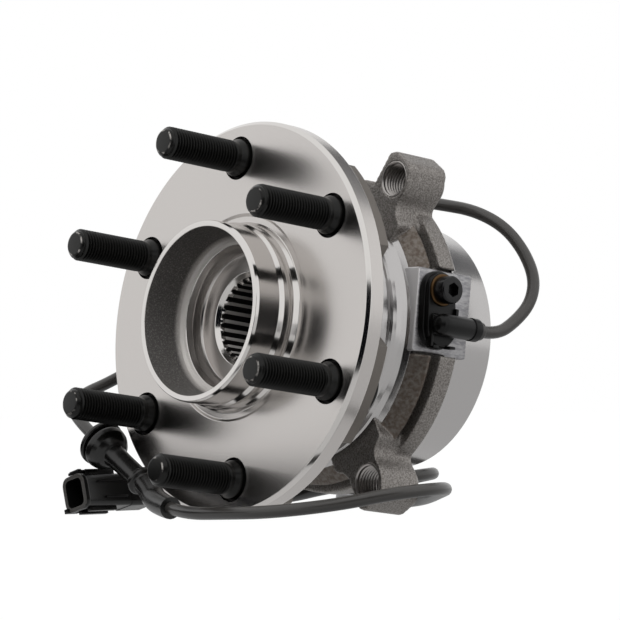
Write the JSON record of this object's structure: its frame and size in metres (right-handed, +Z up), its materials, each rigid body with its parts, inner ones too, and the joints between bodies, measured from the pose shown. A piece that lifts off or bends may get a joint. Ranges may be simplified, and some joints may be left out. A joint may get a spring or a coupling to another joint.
{
  "type": "wheel hub bearing",
  "caption": "Driven-axle wheel hub bearing: studded wheel flange on a double-row ball bearing in a cast carrier with threaded ears and a wired speed sensor.",
  "frame": {"origin": "centre of the wheel face on the spin axis", "axes": "+Y along the spin axis from the wheel side to the vehicle side, +Z up, +X towards the speed sensor"},
  "size_m": [0.2124, 0.1677, 0.1733],
  "materials": {
    "machined_steel": "machined",
    "phosphated_steel": "black phosphate",
    "bearing_steel": "ground",
    "cage_plastic": "moulded",
    "casting": "cast, machined bands",
    "seal_rubber": "matt",
    "sensor_plastic": "moulded",
    "brass": "turned",
    "black_oxide_steel": "black oxide",
    "cable_rubber": "satin",
    "connector_plastic": "moulded",
    "tinned_pin": "tinned"
  },
  "bodies": {
    "carrier": {"outer_ring": "casting", "outboard_seal": "seal_rubber", "inboard_seal": "seal_rubber", "sensor_body": "sensor_plastic", "sensor_o_ring": "seal_rubber", "sensor_bushing": "brass", "sensor_bolt": "black_oxide_steel", "cable_sleeve": "cable_rubber", "sensor_cable": "cable_rubber", "cable_grommet": "cable_rubber", "cable_boot": "cable_rubber", "lead_cable": "cable_rubber", "connector_housing": "connector_plastic", "connector_pin_1": "tinned_pin", "connector_pin_2": "tinned_pin"},
    "rotor": {"hub_flange": "machined_steel", "wheel_stud_1": "phosphated_steel", "wheel_stud_2": "phosphated_steel", "wheel_stud_3": "phosphated_steel", "wheel_stud_4": "phosphated_steel", "wheel_stud_5": "phosphated_steel", "wheel_stud_6": "phosphated_steel", "inner_ring": "bearing_steel", "tone_ring": "bearing_steel"},
    "cage_row_outboard": {"cage_outboard": "cage_plastic", "balls_outboard": "bearing_steel"},
    "cage_row_inboard": {"cage_inboard": "cage_plastic", "balls_inboard": "bearing_steel"}
  },
  "joints": [
    {"name": "hub_spin", "type": "hinge", "parent": "carrier", "child": "rotor", "pos_m": [0, 0, 0], "axis": [0, 1, 0], "continuous": true},
    {"name": "cage_spin_outboard", "type": "hinge", "parent": "carrier", "child": "cage_row_outboard", "pos_m": [0, 0.041, 0], "axis": [0, 1, 0], "continuous": true},
    {"name": "cage_spin_inboard", "type": "hinge", "parent": "carrier", "child": "cage_row_inboard", "pos_m": [0, 0.077, 0], "axis": [0, 1, 0], "continuous": true}
  ],
  "couplings": [
    {"joint": "cage_spin_outboard", "follows": "hub_spin", "ratio": 0.4035},
    {"joint": "cage_spin_inboard", "follows": "hub_spin", "ratio": 0.4035}
  ]
}
